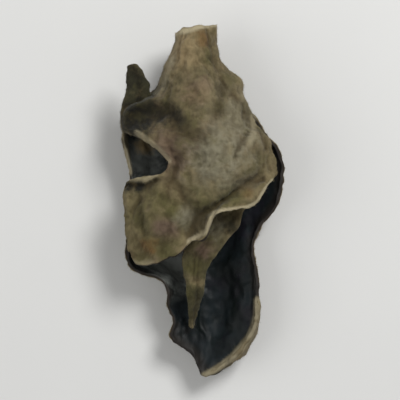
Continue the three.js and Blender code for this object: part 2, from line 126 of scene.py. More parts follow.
# Folds of the felted side, each with its sheet, its half width and height in millimetres, and its
# pixels in the photograph. Those that go down also get painted shade along them.
FOLDS = {
    "gutter behind the lip": (
        LIP, 0.42, -0.75,
        [(243.2, 286.4), (244.6, 284.2), (247.3, 282), (253.6, 278.8), (258.7, 275.6), (263, 273.5)],
    ),
    "rolled lip": (LIP, 0.55, 0.4, [(246, 284.6), (250, 283.4), (257, 282.6), (261, 279.5), (264, 275.5)]),
    "turned step of the lip": (
        LIP, 0.4, 0.4, [(234.6, 300), (235.4, 297.3), (240, 294.6), (241.4, 291), (242.6, 288)]
    ),
    "shadow beside the lip": (LIP, 0.6, -0.55, [(234.5, 295.5), (236.5, 291.5), (239, 288), (242, 286)]),
    "crease under the notch": (ANYWHERE, 0.5, -0.75, [(207, 276), (211, 277), (217.5, 276.8), (221, 275)]),
    "groove under the notch": (LIP, 0.8, -0.4, [(226, 261), (228.5, 268), (227.5, 275), (225.5, 281)]),
    "valley beside the neck": (
        ANYWHERE, 1.8, -0.6, [(207, 250), (213, 248), (219, 246.5), (225, 248.5), (229, 254)]
    ),
    "ridge from the neck": (LIP, 1.8, 0.55, [(233, 220), (236, 231), (240, 242), (246, 253), (251, 263)]),
    "hollow beside the ridge": (LIP, 1.2, -0.4, [(226, 247), (230, 251), (234, 255.5), (239, 258)]),
    "small crease": (
        LIP, 0.35, -0.5, [(256.5, 248), (258.3, 252), (257.2, 256), (254.5, 261), (252.5, 265)]
    ),
    "cheek fold": (LIP, 0.9, -0.4, [(249, 234), (247.5, 240), (245.5, 246), (244.5, 250)]),
    "outer cheek fold": (ANYWHERE, 0.7, -0.3, [(251, 241), (256, 246), (261, 254), (264, 262)]),
    "groove across the lobe": (LIP, 0.5, -0.2, [(230.5, 276), (232, 280), (234.5, 284)]),
    "left groove of the lobe": (ANYWHERE, 0.6, -0.3, [(214, 281), (212, 286), (214, 291)]),
    "pit of the lobe": (ANYWHERE, 0.6, -0.5, [(207.5, 303.6), (209.6, 305.4)]),
    "swell of the lobe": (ANYWHERE, 2.0, 0.4, [(222, 287), (223.5, 293), (221, 299)]),
    "right line of the neck": (ANYWHERE, 0.5, -0.2, [(241, 214), (242.5, 222), (245.5, 231)]),
    "line of the shoulder": (ANYWHERE, 0.5, -0.3, [(212, 229), (213.5, 235), (213, 242)]),
    "line of the tongue": (
        BELOW_LIP, 0.5, -0.35, [(247, 289), (242.5, 297), (238.5, 306), (236, 318), (234.5, 330)]
    ),
    "second line of the tongue": (BELOW_LIP, 0.4, -0.25, [(240.5, 298), (236.5, 305), (234.8, 314)]),
}

# The rim of the dish where it curls over, at its side and at its end: its half width, height and
# pixels
CURLED_SIDE = [(261.6, 316), (261.3, 322), (261.2, 328), (260.2, 332.6), (258, 337.5)]
CURLED_END = [(258, 337.5), (254.8, 341.8), (251.4, 345.4), (247.4, 348.6), (243, 351.2), (240, 352.8)]
CURLED_RIM = ((0.4, 0.35, CURLED_SIDE), (0.55, 0.45, CURLED_END))

# Thin pale lines along rims and edges: their sheet, half width, strength and pixels. A line fades by
# the second of the next two values for each half width, starting from the first.
PALE_START = 1.9
PALE_FADE = 1.2
PALE_LINES = {
    "step of the lip": (
        LIP, 0.28, 0.75, [(234, 305), (234.2, 298), (240.6, 294.8), (243, 289), (244.2, 287)]
    ),
    "edge of the lip": (
        LIP, 0.28, 0.95,
        [(244.2, 287), (247, 286.2), (257, 285), (261, 283), (264, 278), (267, 274.5)],
    ),
    "side of the neck": (UPPER_WALL, 0.6, 0.22, [(229.4, 216), (227.2, 224), (225, 231), (221.8, 239)]),
    "edge of the cut": (UPPER_WALL, 0.35, 0.9, [(227.5, 215.9), (233, 215.2), (238.5, 213.4), (246, 212)]),
    "top of the notch": (UPPER_WALL, 0.4, 0.45, [(213.5, 255.4), (216, 257), (222, 262), (226.2, 266.4)]),
    "foot of the notch": (UPPER_WALL, 0.35, 0.5, [(209.5, 273.6), (217, 274), (221, 272)]),
    "side of the small crease": (UPPER_WALL, 0.4, 0.35, [(259.5, 249), (260, 254), (258, 260)]),
    "foot of the lobe": (UPPER_WALL, 0.35, 0.3, [(208, 305.6), (214, 307.6), (219, 306.6)]),
    # Painted highlight along the rim of the dish
    "highlight on the rim of the dish": (DISH, 0.35, 0.6, [(208, 255), (209.3, 263), (210.5, 271)]),
    "side of the curled rim": (DISH, 0.42, 0.55, CURLED_SIDE[1:]),
    "end of the curled rim": (DISH, 0.45, 0.6, CURLED_END),
}

# Small moves of the crumpled sheet, which bring its outline back to the photograph's: the pixel, its
# height and reach in millimetres, and the move along X and Y
NUDGES = {
    "neck, upper left": ((227, 217), 8.6, 3.2, (0.8, 0.0)),
    "cut": ((232.5, 212.5), 8.6, 2.2, (0.0, -0.9)),
    "neck, left": ((225, 227), 10.0, 3.0, (0.5, 0.0)),
    "neck, lower left": ((220, 238), 9.6, 2.8, (0.9, 0.0)),
    "neck, right": ((247, 222), 9.0, 2.6, (0.4, 0.0)),
    "cheek": ((256, 240), 10.5, 3.2, (0.6, 0.0)),
    "shoulder": ((208, 233), 8.4, 3.0, (0.5, 0.0)),
    "lobe, left": ((204, 288), 9.0, 5.5, (1.35, 0.0)),
    "lobe, lower left": ((205, 301), 8.0, 4.0, (0.8, 0.0)),
    "notch": ((224, 267), 13.3, 2.0, (0.8, 0.0)),
    "dish, upper left": ((220, 317), 6.4, 4.5, (1.3, 0.0)),
    "dish, left": ((225, 334), 5.0, 3.5, (0.4, 0.0)),
    "dish, lower left": ((234, 346), 5.0, 4.0, (0.7, 0.0)),
    "dish, right": ((264, 325), 6.0, 3.2, (-0.5, 0.0)),
    "dish, lower right": ((252, 348), 5.0, 3.0, (0.6, -0.3)),
    "tongue": ((234, 325), 7.5, 4.5, (0.65, -0.1)),
    "tongue, right": ((243, 311), 9.2, 2.6, (-0.7, 0.0)),
    "step of the lip": ((239.6, 294.5), 13.4, 1.5, (0.25, -1.05)),
}

# Areas of the felt by feature, each with its pixel in the photograph, height and reach in
# millimetres, strength, and the colour that it takes
FELT_AREAS = {
    # Paler and greyer felt on the cheek
    "pale grey cheek": (
        ((250, 253), 12.0, 8.0, 0.6, "grey"),
        ((246, 267), 13.0, 7.0, 0.7, "grey"),
        ((243, 266), 14.7, 5.0, 0.8, "grey"),
    ),
    # Painted shade along the folds beside the ridge
    "shaded folds beside the ridge": (
        ((240, 232), 13.8, 2.2, 0.85, "dark_and_shaded"),
        ((250, 233), 10.8, 2.4, 1.0, "dark_and_shaded"),
        ((247, 240), 12.8, 2.0, 0.5, "dark_and_shaded"),
        ((245.5, 246), 14.6, 2.2, 0.9, "dark_and_shaded"),
    ),
    # Part painted highlight: the neck's warm tone, lighter where light falls broadly on it
    "warm neck": (
        ((236, 222), 9.0, 7.0, 0.75, "warm"),
        ((231, 224), 11.8, 4.0, 0.9, "warm"),
    ),
    "pale edge of the neck": (
        ((226.5, 227), 10.8, 1.9, 0.6, "grey"),
        ((223.5, 235), 10.4, 1.9, 0.6, "grey"),
    ),
    "rusty corner of the neck": (
        ((241.5, 218.7), 11.0, 3.0, 0.8, "dark_and_shaded"),
        ((239.5, 218.5), 11.5, 1.8, 0.6, "rust"),
    ),
    "green spot of the neck": (((241.5, 226.5), 11.5, 2.0, 0.8, "olive"),),
    "mauve ridge": (
        ((237.6, 239.5), 13.7, 3.4, 0.6, "mauve"),
        ((238, 241), 13.8, 2.6, 0.5, "warm"),
    ),
    # Painted shade in the hollow beside the ridge
    "hollow beside the ridge": (
        ((234, 253.5), 14.4, 3.2, 0.9, "dark_and_shaded"),
        ((230, 250.5), 13.6, 2.6, 0.6, "stain_and_shade"),
    ),
    "mauve beside the notch": (((227, 263), 13.0, 4.8, 0.65, "mauve"),),
    "mottled lobe": (
        ((219, 291), 12.0, 7.0, 0.55, "olive"),
        ((225, 293), 12.8, 3.0, 0.75, "mauve"),
        ((212.5, 296), 10.3, 2.2, 0.5, "clean"),
        ((215.5, 289), 12.0, 2.2, 0.7, "olive"),
        ((221.5, 283), 12.8, 2.2, 0.6, "olive"),
        ((227.6, 285.5), 13.4, 2.4, 0.9, "olive"),
    ),
    "pale swell beside the lip": (((233, 288.5), 12.9, 2.6, 0.9, "grey"),),
    "lower edge of the lobe": (
        ((225, 302.5), 11.6, 3.4, 0.9, "olive"),
        ((216, 304.5), 10.6, 2.0, 0.7, "olive"),
        ((217.6, 300.5), 11.5, 2.1, 0.9, "rust"),
        # Painted shadow in the pit at the lobe's edge
        ((209, 305), 9.3, 0.9, 0.8, "stain_and_shade"),
    ),
    "olive lip": (
        ((243, 283), 12.5, 5.0, 0.4, "olive"),
        ((240.5, 281), 13.3, 2.8, 0.75, "olive"),
        ((251, 281.5), 13.7, 2.8, 0.8, "olive"),
        ((257, 279.5), 13.4, 1.3, 0.5, "rust"),
    ),
    # Part stain, part painted shade in the valley beside the neck
    "stained and shaded valley": (
        ((212, 247), 9.5, 5.6, 1.0, "stain_and_shade"),
        ((220, 249), 11.0, 4.4, 0.7, "stain_and_shade"),
        ((226, 248), 12.3, 3.0, 0.5, "stain_and_shade"),
        ((213.4, 252.7), 10.4, 3.4, 1.0, "stain_and_shade"),
        ((218, 240), 8.2, 3.0, 1.0, "stain_and_shade"),
    ),
    # Painted shadow in the crease under the notch
    "crease under the notch": (
        ((210.3, 276.8), 10.2, 1.5, 1.0, "stain_and_shade"),
        ((214.5, 276.9), 11.2, 1.4, 1.0, "stain_and_shade"),
    ),
    # Painted shade on the shoulder
    "shaded shoulder": (
        ((212.5, 235), 8.4, 5.0, 1.0, "shaded"),
        ((211.5, 232), 8.4, 5.0, 0.7, "stain_and_shade"),
        ((218, 242), 8.6, 3.0, 0.5, "shaded"),
    ),
    # Painted shade on the tongue, darkest at its edge under the lip
    "shaded tongue": (
        ((244, 294), 9.5, 4.5, 0.7, "shaded"),
        ((238, 308), 9.0, 4.5, 0.9, "shaded"),
        ((235, 324), 7.5, 5.5, 0.9, "shaded"),
        ((245.5, 293), 9.8, 2.4, 0.6, "grey"),
        ((240.4, 302), 9.6, 2.2, 0.7, "mauve"),
        ((236.5, 308.5), 9.2, 2.3, 0.9, "olive"),
        ((235.5, 318), 8.4, 2.4, 0.8, "olive"),
        ((237.8, 318.6), 9.0, 1.6, 0.5, "stain_and_shade"),
        ((250.5, 293.5), 9.2, 2.0, 0.7, "stain_and_shade"),
    ),
}

# Areas of the smooth side, in the same way
INSIDE_AREAS = {
    # Painted light on the inner wall, where it lies in shade in the notch and below the lobe
    "lit wall in the notch": (((214, 265), 3.8, 6.0, 0.95, "inside_painted_light"),),
    "lit wall below the lobe": (((226, 310), 2.0, 6.5, 1.0, "inside_painted_light"),),
    # Part painted light: a warm streak made lighter where the notch shades it
    "warm streak lit in the notch": (((216, 260), 3.7, 2.2, 1.0, "warm"),),
    # Painted sheen on the dish
    "sheen of the dish": (
        ((229, 328), 3.5, 4.0, 0.8, "inside_bloom_and_sheen"),
        ((259, 322), 4.0, 2.5, 0.6, "inside_bloom_and_sheen"),
    ),
}

# What streaks, and the painted shade of valleys, hollows and creases, multiply a colour by, and what
# hairs multiply the felt's by
STREAK = (0.55, 0.54, 0.5)
VALLEY_SHADE = (0.45, 0.41, 0.36)
HOLLOW_SHADE = (0.5, 0.47, 0.42)
CREASE_SHADE = (0.42, 0.37, 0.32)
INNER_STREAK = (0.6, 0.6, 0.6)
CUT_STREAK = (0.5, 0.46, 0.4)
HAIR_LIGHT = (1.12, 1.12, 1.1)

# How hairs stand: the least and most that they rise from the skin, how strongly they are combed away
# from the cut, how far they stray, and the least and most of their length
HAIR_RISE = (0.35, 0.9)
HAIR_COMBING = 0.55
HAIR_STRAYING = 0.4
HAIR_SIZE = (0.55, 1.15)
HAIR_SEED = 7

# The stage, in metres: the place that the camera looks straight down on, its sensor, the nearest
# that it sees, the floor's radius and edge, and each light's place and size. The floor's grain keeps
# a share of its colour.
VIEW_MIDDLE = Vector((0.0, 0.0002, 0.007))
SENSOR_WIDTH = 0.036
NEAREST_SEEN = 0.01
FLOOR_RADIUS = 1.6
FLOOR_EDGE = 0.5
FLOOR_SIDES = 96
FLOOR_GRAIN = 0.98
KEY_LIGHT = ((0.18, 0.21, 0.32), 0.15)
FILL_LIGHT = ((-0.32, -0.04, 0.30), 0.35)

# Distance between nodes in the node editor
NODE_SPACING = 220


def tint(red, green, blue):
    """A linear colour from the 0 to 255 values that a screen shows."""
    return tuple(
        c / 12.92 if c <= 0.04045 else ((c + 0.055) / 1.055) ** 2.4
        for c in (red / 255, green / 255, blue / 255)
    )


def colour(name, place, red, green, blue):
    kind = {"subtype": "COLOR", "size": 3, "min": 0.0, "max": 1.0, "default": tint(red, green, blue)}
    return bpy.props.FloatVectorProperty(name=name, description=f"Colour of {place}", **kind)


def number(name, description, default, **kind):
    return bpy.props.FloatProperty(name=name, description=description, default=default, min=0.0, **kind)


def length(name, description, millimetres):
    return number(name, description, millimetres * MM, unit="LENGTH", precision=5)


class WoodEarFlesh(bpy.types.PropertyGroup):
    crumple_size: length("Crumple size", "Size of the crumples of the whole sheet", 4.2)
    crumple_shift: length("Crumple shift", "How far the crumples move the sheet", 1.3)
    ragged_size: length("Ragged size", "Size of the small crumples that make rims ragged", 1.1)
    ragged_shift: length("Ragged shift", "How far the small crumples move the sheet", 0.28)
    rib_height: length("Rib height", "Height of the ribs that spread from the cut", 0.42)
    wrinkle_size: length("Wrinkle size", "Size of the felt's wrinkles", 1.5)
    wrinkle_height: length("Wrinkle height", "Height of the felt's wrinkles", 0.11)
    clean: colour("Clean felt", "the felt where it is clean", 123, 111, 82)
    # Darker felt in blotches, and painted shade along folds and in a hollow
    dark_and_shaded: colour("Dark and shaded felt", "the felt where it is worn", 92, 84, 59)
    warm: colour("Warm felt", "the felt on the neck", 142, 125, 93)
    grey: colour("Grey felt", "the felt on the pale grey cheek", 130, 125, 105)
    olive: colour("Olive felt", "the felt's olive mottles", 84, 80, 48)
    mauve: colour("Mauve felt", "the felt's mauve patches", 113, 93, 81)
    rust: colour("Rust felt", "the felt's rusty streaks", 122, 90, 54)
    # Part stain, part painted shade: the valley by the neck, creases, a pit and under the lip
    stain_and_shade: colour("Stain and shade", "the dark stain in the valley beside the neck", 31, 30, 23)
    # Painted shade on the shoulder and on the tongue under the lip
    shaded: colour("Shaded felt", "the dull felt on the shoulder and tongue", 62, 60, 39)
    rim: colour("Rim", "the thin rim where it is pale", 158, 148, 121)
    dark_rim: colour("Dark rim", "the thin rim where it is dark", 38, 32, 26)
    inside_dark: colour("Dark inside", "the smooth inner side", 14, 19, 18)
    # Part bloom, part painted sheen: the bluish patches of the smooth side
    inside_bloom_and_sheen: colour("Bloom and sheen inside", "the bluish bloom on the inner side", 24, 31, 34)
    inside_violet: colour("Violet inside", "the violet tinge of the inner side", 28, 24, 32)
    inside_brown: colour("Brown inside", "the inner side near its rim", 44, 38, 33)
    # Painted light: the dark inner side made pale grey where the notch and the lobe shade it
    inside_painted_light: colour("Painted light inside", "the inner side seen in the notch", 112, 115, 110)
    cut_flesh: colour("Cut flesh", "the cut end", 112, 92, 66)


class WoodEarPile(bpy.types.PropertyGroup):
    hairs: bpy.props.IntProperty(
        name="Hairs", description="Number of hairs on the felt", min=0, default=48000
    )
    hair_length: length("Hair length", "Length of a hair", 0.34)
    hair_width: length("Hair width", "Width of a hair at its root", 0.028)


class WoodEarStage(bpy.types.PropertyGroup):
    view_width: length("View width", "Width of what the camera sees", 65.6)
    lens: number("Lens", "Focal length of the camera", 200.0, unit="CAMERA")
    floor: colour("Floor", "the floor", 206, 206, 204)
    key_power: number("Key power", "Power of the main light", 1.5, unit="POWER")
    fill_power: number("Fill power", "Power of the weak light", 0.7, unit="POWER")
    room: number("Room light", "Strength of the light from all round", 0.36)


def only(obj):
    """Leaves obj alone selected and active."""
    bpy.ops.object.select_all(action="DESELECT")
    bpy.context.view_layer.objects.active = obj
    obj.select_set(True)


def apply_modifier(obj, kind, **settings):
    modifier = obj.modifiers.new(kind.title(), kind)
    for name, value in settings.items():
        setattr(modifier, name, value)
    only(obj)
    bpy.ops.object.modifier_apply(modifier=modifier.name)


def displace(obj, texture, strength, **settings):
    """Moves a surface by a texture, as much one way as the other."""
    settings.update(texture=texture, texture_coords="LOCAL", mid_level=0.5, strength=strength)
    apply_modifier(obj, "DISPLACE", **settings)


def read(items, field, width=3, kind=float):
    """A mesh's values, such as places or the vertices of its edges, as rows of numbers."""
    values = np.empty(len(items) * width, kind)
    items.foreach_get(field, values)
    return values.reshape(-1, width) if width > 1 else values


def place_vertices(mesh, points):
    mesh.vertices.foreach_set("co", points.ravel())
    mesh.update()


def add_values(mesh, name, values):
    """Stores a number, or a row of three, for each vertex."""
    kind, field = ("FLOAT", "value") if values.ndim == 1 else ("FLOAT_VECTOR", "vector")
    mesh.attributes.new(name, kind, "POINT").data.foreach_set(field, values.ravel())


def from_photo(pixels):
    """Places in millimetres from pixels of the photograph."""
    across, down = np.array(pixels, float).T
    return np.stack([(across - MIDDLE_PIXEL[0]) * PIXEL, (MIDDLE_PIXEL[1] - down) * PIXEL], axis=1)


# Shape of the flesh


def surfaces(bm):
    """Which surface each face is on. The surfaces grow from one face each, over the flattest edges
    first, so they meet along the sharp rims."""
    tree = BVHTree.FromBMesh(bm)
    down = Vector((0.0, 0.0, -1.0))
    lowest = min(bm.faces, key=lambda face: face.calc_center_median().z)
    kind = {
        lowest.index: "felt",
        tree.ray_cast(DISH_PLACE, down)[2]: "inside",
        tree.ray_cast(TONGUE_PLACE, down)[2]: "tongue",
    }
    parent = list(range(len(bm.faces)))

    def group(index):
        while parent[index] != index:
            parent[index] = parent[parent[index]]
            index = parent[index]
        return index

    for edge in sorted(bm.edges, key=lambda edge: edge.calc_face_angle(0.0)):
        first, second = (group(face.index) for face in edge.link_faces)
        kinds = {kind[g] for g in (first, second) if g in kind}
        if first != second and len(kinds) < 2:
            parent[second] = first
            if kinds:
                kind[first] = kinds.pop()
    return [kind[group(face.index)] for face in bm.faces]


def assign_surfaces(mesh):
    """Gives each face of the coarse sheet its finish, and sharpens the ring round the cut."""
    bm = bmesh.new()
    bm.from_mesh(mesh)
    bm.faces.ensure_lookup_table()
    for face, surface in zip(bm.faces, surfaces(bm)):
        face.material_index = INSIDE if surface == "inside" else FELT
    borders = {
        vertex
        for edge in bm.edges
        if len({face.material_index for face in edge.link_faces}) == 2
        for vertex in edge.verts
    }
    for face in bm.faces:
        if face.material_index == INSIDE and borders & set(face.verts):
            face.material_index = MARGIN
        if face.calc_center_median().y > CUT_CENTRE.y - CUT_DEPTH and face.normal.y > CUT_FACING:
            face.material_index = CUT
    crease = bm.edges.layers.float.new("crease_edge")
    for edge in bm.edges:
        if sorted(face.material_index for face in edge.link_faces) == [FELT, CUT]:
            edge[crease] = CUT_SHARPNESS
    bm.to_mesh(mesh)
    bm.free()


def pair_triangles(obj):
    """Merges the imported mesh's loose triangles, and joins them in pairs."""
    only(obj)
    bpy.ops.object.mode_set(mode="EDIT")
    bpy.ops.mesh.select_all(action="SELECT")
    bpy.ops.mesh.remove_doubles(threshold=MERGE_WITHIN)
    bpy.ops.mesh.tris_convert_to_quads(face_threshold=FLAT_PAIR, shape_threshold=SQUARE_PAIR)
    bpy.ops.object.mode_set(mode="OBJECT")


def crumple(obj, name, size, shift):
    """Moves both sides of the sheet together by soft clouds, whose three colours move it along X, Y
    and Z, and leaves its middle in place."""
    clouds = bpy.data.textures.new(name, "CLOUDS")
    clouds.cloud_type = "COLOR"
    clouds.noise_scale = size
    middle = read(obj.data.vertices, "co").mean(axis=0)
    displace(obj, clouds, shift, direction="RGB_TO_XYZ")
    points = read(obj.data.vertices, "co")
    place_vertices(obj.data, points + middle - points.mean(axis=0))


def wrinkle(obj, size, height):
    """Wrinkles the felted side."""
    felted = obj.vertex_groups.new(name="felted")
    felted.add(np.flatnonzero(face_vertices(obj.data, FELT)).tolist(), 1.0, "REPLACE")
    ridges = bpy.data.textures.new("wrinkles", "MUSGRAVE")
    ridges.musgrave_type = "RIDGED_MULTIFRACTAL"
    ridges.noise_scale = size
    displace(obj, ridges, height, vertex_group=felted.name)


def nudge(mesh):
    """Makes the small moves that bring the outline back to the photograph's."""
    points = read(mesh.vertices, "co") / MM
    moves = np.zeros((len(points), 2))
    for pixel, height, reach, move in NUDGES.values():
        across, along = from_photo([pixel])[0]
        away = np.linalg.norm(points - (across, along, height), axis=1) / reach
        moves += np.exp(-(away**2))[:, None] * move
    points[:, :2] += moves
    place_vertices(mesh, points * MM)


def narrow_tip(mesh):
    """Narrows the tongue to its tip."""
    points = read(mesh.vertices, "co") / MM
    start, end = TIP_NARROWS
    aside = points[:, 0] - TIP_MIDDLE
    on_tongue = (points[:, 2] > TIP_BOTTOM) & (abs(aside) < TIP_REACH)
    share = np.clip((start - points[:, 1]) / (start - end), 0.0, 1.0) * on_tongue
    points[:, 0] = TIP_MIDDLE + aside * (1.0 - (1.0 - TIP_WIDTH) * share**TIP_CURVE)
    place_vertices(mesh, points * MM)


def neighbour_mean(values, edges, passes):
    """Vertex values evened out over their neighbours."""
    count = np.bincount(edges.ravel(), minlength=len(values))
    for _ in range(passes):
        summed = np.bincount(edges[:, 0], values[edges[:, 1]], len(values))
        summed += np.bincount(edges[:, 1], values[edges[:, 0]], len(values))
        values = (values + summed) / (count + 1)
    return values


def evened(rows, edges, passes):
    return np.stack([neighbour_mean(column, edges, passes) for column in rows.T], axis=1)


def line_distance(places, line):
    """Distance of each place from a line of straight stretches, seen from above."""
    nearest = np.full(len(places), np.inf)
    for start, end in zip(line[:-1], line[1:]):
        stretch = end - start
        share = np.clip((places - start) @ stretch / (stretch @ stretch), 0.0, 1.0)
        away = np.linalg.norm(places - start - share[:, None] * stretch, axis=1)
        nearest = np.minimum(nearest, away)
    return nearest


def widths_away(points, pixels, width):
    """How many half widths each place, in millimetres, lies from a line of the photograph."""
    return line_distance(points[:, :2], from_photo(pixels)) / width


def growth_places(points):
    """Places measured from the cut, in millimetres: round it, away from it, and up."""
    offset = points / MM - np.array(CUT_CENTRE / MM)
    away = np.hypot(offset[:, 0], offset[:, 1])
    turned = np.arctan2(offset[:, 0], SPREAD_START - offset[:, 1])
    across = CUT_HALF_WIDTH * np.sqrt(away + SPREAD_START) * turned
    return np.stack([across, away, offset[:, 2]], axis=1)


def face_vertices(mesh, finish):
    """True for each vertex on a face with this finish."""
    chosen = np.zeros(len(mesh.vertices), bool)
    for polygon in mesh.polygons:
        if polygon.material_index == finish:
            chosen[list(polygon.vertices)] = True
    return chosen


def find_tree(points, chosen):
    """A tree that finds the nearest of the chosen points."""
    places = np.flatnonzero(chosen)
    tree = kdtree.KDTree(len(places))
    for index in places:
        tree.insert(points[index], index)
    tree.balance()
    return tree


def rib_heights(points):
    """Ribs that spread from the cut, wide and soft with narrow ones on them, from -1 to 1."""
    return np.array([
        sum(height * noise.noise(np.divide(place, sizes)) for height, sizes in RIBS)
        for place in growth_places(points)
    ])


def facing_up(mesh, start=0.0):
    """1 for each vertex on a fairly level place, down to 0 on a steep or hidden one."""
    upward = read(mesh.vertex_normals, "vector")[:, 2]
    return np.clip(LEVEL_SHARE * upward + start, 0.0, 1.0)


def on_sheet(points, sheet):
    """True for the points within a sheet's heights, in millimetres."""
    return (points[:, 2] >= sheet[0]) & (points[:, 2] <= sheet[1])


def fold_heights(mesh):
    """The felted side's own folds: their heights in millimetres, and how deep in a crease each is."""
    points = read(mesh.vertices, "co") / MM
    upward = facing_up(mesh)
    heights = np.zeros(len(points))
    creases = np.zeros(len(points))
    for sheet, width, height, pixels in FOLDS.values():
        away = widths_away(points, pixels, width)
        shape = np.exp(-(away**FOLD_SECTION)) * upward * on_sheet(points, sheet)
        heights += height * shape
        if height < 0:
            creases = np.maximum(creases, shape)
    return heights, creases


def curl_heights(mesh):
    """How far the smooth side rises, in millimetres, where the rim of the dish curls over."""
    points = read(mesh.vertices, "co") / MM
    heights = np.zeros(len(points))
    for width, height, pixels in CURLED_RIM:
        away = widths_away(points, pixels, width)
        heights = np.maximum(heights, height * np.exp(-(away**CURL_SECTION)))
    return heights * facing_up(mesh) * on_sheet(points, DISH)


def fold_sheet(mesh, rib_height):
    """Folds the sheet: the felted side moves along its normals, and the smooth side goes with it."""
    points = read(mesh.vertices, "co")
    normals = read(mesh.vertex_normals, "vector")
    edges = read(mesh.edges, "vertices", 2, np.int32)
    felted = face_vertices(mesh, FELT)
    heights, creases = fold_heights(mesh)
    total = rib_height * rib_heights(points) + heights * MM
    moves = normals * (total * felted)[:, None]
    tree = find_tree(points, felted)
    for index in np.flatnonzero(~felted):
        _, nearest, distance = tree.find(points[index])
        moves[index] = moves[nearest] * max(0.0, 1.0 - distance / (FOLLOWS_WITHIN * MM))
    moves += normals * (curl_heights(mesh) * MM * ~felted)[:, None]
    place_vertices(mesh, points + evened(moves, edges, FOLD_PASSES))
    return creases * felted


def crests(mesh, passes):
    """How far each vertex stands proud of its neighbours, from about -1 in a valley to 1."""
    points = read(mesh.vertices, "co")
    normals = read(mesh.vertex_normals, "vector")
    edges = read(mesh.edges, "vertices", 2, np.int32)
    proud = ((points - evened(points, edges, passes)) * normals).sum(axis=1)
    return np.tanh(proud / (CREST_RANGE * proud.std()))


def record_surface(mesh, creases):
    """Stores what the finishes need: crests and creases, the distance to the rim, the pale lines
    and the place measured from the cut."""
    points = read(mesh.vertices, "co")
    places = points / MM
    felted = face_vertices(mesh, FELT)
    tree = find_tree(points, face_vertices(mesh, MARGIN) & felted)
    add_values(mesh, "rim_distance", np.array([tree.find(point)[2] / MM for point in points]))
    add_values(mesh, "crest", crests(mesh, FINE_PASSES))
    add_values(mesh, "broad_crest", crests(mesh, BROAD_PASSES))
    add_values(mesh, "crease", creases)
    curled = on_sheet(places, DISH) & ~felted
    shown = np.where(curled, 1.0, facing_up(mesh, start=0.5))
    pale = np.zeros(len(points))
    for sheet, width, strength, pixels in PALE_LINES.values():
        away = widths_away(places, pixels, width)
        near = np.clip(PALE_START - PALE_FADE * away, 0.0, 1.0) * on_sheet(places, sheet)
        pale = np.maximum(pale, strength * near * shown)
    add_values(mesh, "pale", pale)
    add_values(mesh, "growth", growth_places(points))


def rest_on_floor(mesh):
    """Brings what the crumples pushed below the floor back up to it."""
    place_vertices(mesh, np.maximum(read(mesh.vertices, "co"), (-np.inf, -np.inf, 0.0)))


class WOODEAR_OT_flesh(bpy.types.Operator):
    """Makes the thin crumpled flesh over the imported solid, with its felted and smooth sides."""

    bl_idname = "wood_ear.flesh"
    bl_label = "Flesh"

    def execute(self, context):
        settings = context.scene.wood_ear_flesh
        flesh = bpy.data.objects.new("ear_flesh", SOLID.data.copy())
        context.scene.collection.objects.link(flesh)
        flesh.data.materials.clear()
        for make_material in (felt_material, margin_material, inside_material, cut_material):
            flesh.data.materials.append(make_material(settings))
        pair_triangles(flesh)
        assign_surfaces(flesh.data)
        apply_modifier(flesh, "SUBSURF", levels=2, render_levels=2)
        narrow_tip(flesh.data)
        creases = fold_sheet(flesh.data, settings.rib_height)
        crumple(flesh, "crumples", settings.crumple_size, settings.crumple_shift)
        crumple(flesh, "ragged", settings.ragged_size, settings.ragged_shift)
        nudge(flesh.data)
        wrinkle(flesh, settings.wrinkle_size, settings.wrinkle_height)
        rest_on_floor(flesh.data)
        record_surface(flesh.data, creases)
        bpy.ops.object.shade_smooth_by_angle(angle=SMOOTH_EDGE)
        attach(flesh, "root")
        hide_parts("wood_ear")
        return {"FINISHED"}


# Finishes


